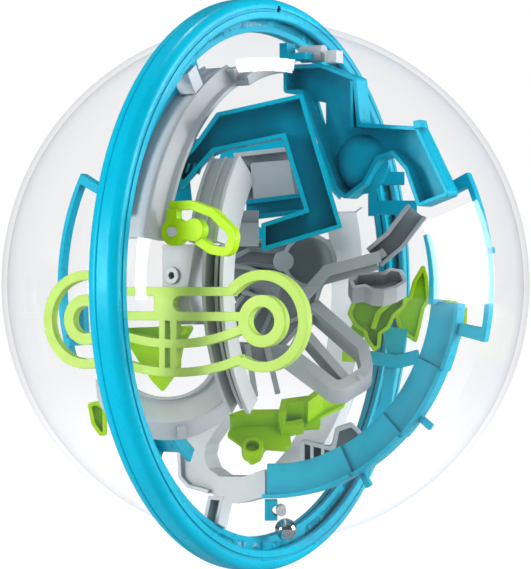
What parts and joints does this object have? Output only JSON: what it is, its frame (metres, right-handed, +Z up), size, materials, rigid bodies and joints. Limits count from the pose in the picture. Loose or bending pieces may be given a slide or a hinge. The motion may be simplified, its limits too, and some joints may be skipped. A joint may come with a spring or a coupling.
{
  "type": "tilt maze game",
  "caption": "Clear sphere maze game with a blue ring round its equator, moulded inner tracks and a steel ball",
  "frame": {"origin": "centre of the sphere, which is the centre of the whole object's box", "axes": "+Z up, the ring's axis along Y, -Y towards the front dome's pole"},
  "size_m": [0.206, 0.19, 0.206],
  "materials": {
    "blue_moulding": "satin injection-moulded plastic",
    "grey_moulding": "satin injection-moulded plastic",
    "green_moulding": "satin injection-moulded plastic",
    "clear_dome": "clear polished thermoformed plastic",
    "steel_ball": "polished steel"
  },
  "bodies": {
    "root": {"arc_liner": "blue_moulding", "back_gate": "grey_moulding", "back_turn": "grey_moulding", "bend_track": "grey_moulding", "bottom_post": "grey_moulding", "centre_bar": "grey_moulding", "centre_bowl": "grey_moulding", "centre_cup": "grey_moulding", "core_plate": "grey_moulding", "cross_bracket": "blue_moulding", "dome_back": "clear_dome", "dome_front": "clear_dome", "double_eye_rail": "green_moulding", "drop_track": "grey_moulding", "finger_loop": "grey_moulding", "gate_wall": "grey_moulding", "hook_track": "grey_moulding", "hub_loop": "green_moulding", "inner_arc_track": "grey_moulding", "inner_ledge": "blue_moulding", "leaf_plate": "green_moulding", "left_wall_arc": "blue_moulding", "lower_clip": "blue_moulding", "lower_side_track": "blue_moulding", "maze_hoop": "blue_moulding", "maze_pegs": "grey_moulding", "outer_arc_track": "grey_moulding", "outer_wall_arc": "blue_moulding", "petal_plate": "green_moulding", "petal_track": "green_moulding", "post_box": "grey_moulding", "rear_arc_track": "grey_moulding", "rear_bracket": "blue_moulding", "rear_post": "grey_moulding", "rear_square_channel": "blue_moulding", "ring_back": "blue_moulding", "ring_front": "blue_moulding", "shelf_track": "blue_moulding", "shield_plate": "green_moulding", "side_arc_track": "blue_moulding", "side_block": "blue_moulding", "side_leaf": "green_moulding", "slat_rack": "grey_moulding", "square_channel": "blue_moulding", "stair_track": "blue_moulding", "top_clip": "blue_moulding", "top_post": "grey_moulding", "top_track": "blue_moulding", "zigzag_track": "green_moulding"},
    "ball": {"steel_ball": "steel_ball"}
  },
  "joints": [
    {"name": "ball_roll", "type": "hinge", "parent": "root", "child": "ball", "pos_m": [0, 0, 0], "axis": [0, 1, 0], "continuous": true}
  ]
}
